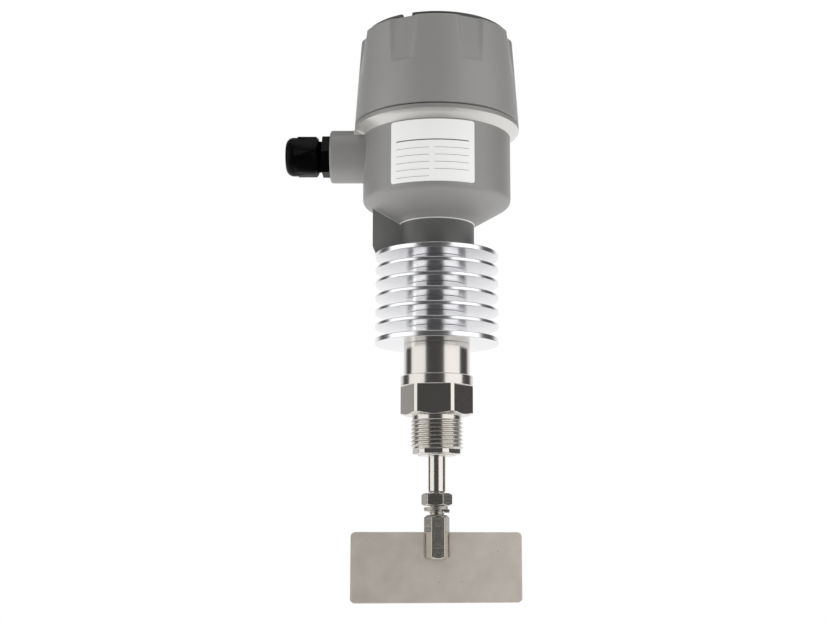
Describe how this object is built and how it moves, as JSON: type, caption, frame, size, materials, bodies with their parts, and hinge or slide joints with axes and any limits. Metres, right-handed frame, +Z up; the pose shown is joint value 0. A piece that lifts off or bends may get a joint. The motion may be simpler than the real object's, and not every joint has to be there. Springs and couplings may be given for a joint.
{
  "type": "rotary paddle level switch",
  "caption": "Level switch with a round screw-capped housing, side cable gland, finned cooler, threaded hex process fitting and a flat paddle on a shaft.",
  "frame": {"origin": "centre of the hex's underside, the face that seats on the process socket, on the shaft's axis", "axes": "+Z up along the shaft towards the cover, -X along the cable entry, +X to the right of the picture"},
  "size_m": [0.1517, 0.1072, 0.3667],
  "materials": {
    "bearing_steel": "ground",
    "black_nylon": "fine moulded",
    "black_rubber": "matt",
    "brass": "machined",
    "bronze": "sintered",
    "cast_paint": "grey satin powder coat",
    "die_cast": "die cast",
    "label_foil": "matt foil",
    "motor_paint": "drawn steel, dark",
    "sheet_steel": "cold rolled, matt",
    "spring_steel": "bright",
    "switch_plastic": "moulded",
    "terminal_plastic": "moulded",
    "turned_aluminium": "turned",
    "turned_steel": "turned",
    "zinc_steel": "zinc plated"
  },
  "bodies": {
    "casing": {"bearing_circlip": "spring_steel", "chassis_plate": "zinc_steel", "chassis_screws": "zinc_steel", "cooling_fins": "turned_aluminium", "deck_screws": "zinc_steel", "earth_screw": "zinc_steel", "gland_body": "black_nylon", "gland_o_ring": "black_rubber", "housing": "cast_paint", "label_plate": "label_foil", "lower_bearing_outer_race": "bearing_steel", "process_fitting": "turned_steel", "return_spring": "spring_steel", "seal_retainer": "turned_steel", "shaft_seal": "black_rubber", "signal_switch": "switch_plastic", "spring_post": "zinc_steel", "standoffs": "zinc_steel", "stop_pin": "zinc_steel", "stop_switch": "switch_plastic", "swing_bush": "bronze", "switch_bracket": "zinc_steel", "switch_screws": "zinc_steel", "terminal_block": "terminal_plastic", "terminal_clamps": "brass", "terminal_deck": "zinc_steel", "terminal_screws": "zinc_steel", "upper_bearing_outer_race": "bearing_steel"},
    "paddle": {"drive_shaft": "turned_steel", "jam_nut": "turned_steel", "spring_washer": "spring_steel", "paddle_hub": "turned_steel", "paddle_blade": "sheet_steel", "lower_bearing_inner_race": "bearing_steel", "upper_bearing_inner_race": "bearing_steel", "shaft_circlip": "spring_steel", "drive_coupling": "turned_steel", "coupling_pin": "bearing_steel", "coupling_screw": "zinc_steel", "motor_shaft": "turned_steel"},
    "motor": {"swing_plate": "zinc_steel", "swing_circlip": "spring_steel", "gearbox": "die_cast", "gearbox_screws": "zinc_steel", "motor_can": "motor_paint", "spring_stud": "zinc_steel"},
    "signal_lever": {"signal_lever": "zinc_steel"},
    "stop_lever": {"stop_lever": "zinc_steel"},
    "cover_seal": {"cover_seal": "black_rubber"},
    "cover": {"cover": "cast_paint"},
    "gland_seal": {"gland_seal": "black_rubber"},
    "gland_cap": {"gland_cap": "black_nylon"}
  },
  "joints": [
    {"name": "paddle_spin", "type": "hinge", "parent": "casing", "child": "paddle", "pos_m": [0, 0, 0], "axis": [0, 0, 1], "continuous": true},
    {"name": "motor_swing", "type": "hinge", "parent": "casing", "child": "motor", "pos_m": [0, 0, 0.16], "axis": [0, 0, 1], "range_deg": [0, 10], "stiffness_Nm_per_rad": 0.3, "springref_deg": -20.05, "deforming": ["return_spring"]},
    {"name": "signal_lever_pivot", "type": "hinge", "parent": "casing", "child": "signal_lever", "pos_m": [-0.0093, 0.0317, 0.1596], "axis": [0, -1, 0], "range_deg": [0, 25.4]},
    {"name": "stop_lever_pivot", "type": "hinge", "parent": "casing", "child": "stop_lever", "pos_m": [-0.0093, 0.0317, 0.1816], "axis": [0, -1, 0], "range_deg": [0, 25.4]},
    {"name": "cover_lift", "type": "slide", "parent": "casing", "child": "cover_seal", "axis": [0, 0, 1], "range_m": [0, 0.01]},
    {"name": "cover_turn", "type": "hinge", "parent": "cover_seal", "child": "cover", "pos_m": [0, 0, 0.2], "axis": [0, 0, 1], "range_deg": [0, 1800]},
    {"name": "gland_seal_slide", "type": "slide", "parent": "casing", "child": "gland_seal", "axis": [-1, 0, 0], "range_m": [0, 0.003]},
    {"name": "gland_cap_turn", "type": "hinge", "parent": "gland_seal", "child": "gland_cap", "pos_m": [-0.085, 0, 0.169], "axis": [-1, 0, 0], "range_deg": [0, 720]}
  ],
  "couplings": [
    {"joint": "signal_lever_pivot", "follows": "motor_swing", "ratio": 2.53},
    {"joint": "stop_lever_pivot", "follows": "motor_swing", "ratio": 2.53},
    {"joint": "cover_lift", "follows": "cover_turn", "m_per_rad": 0.0003183},
    {"joint": "gland_seal_slide", "follows": "gland_cap_turn", "m_per_rad": 0.0002387}
  ]
}
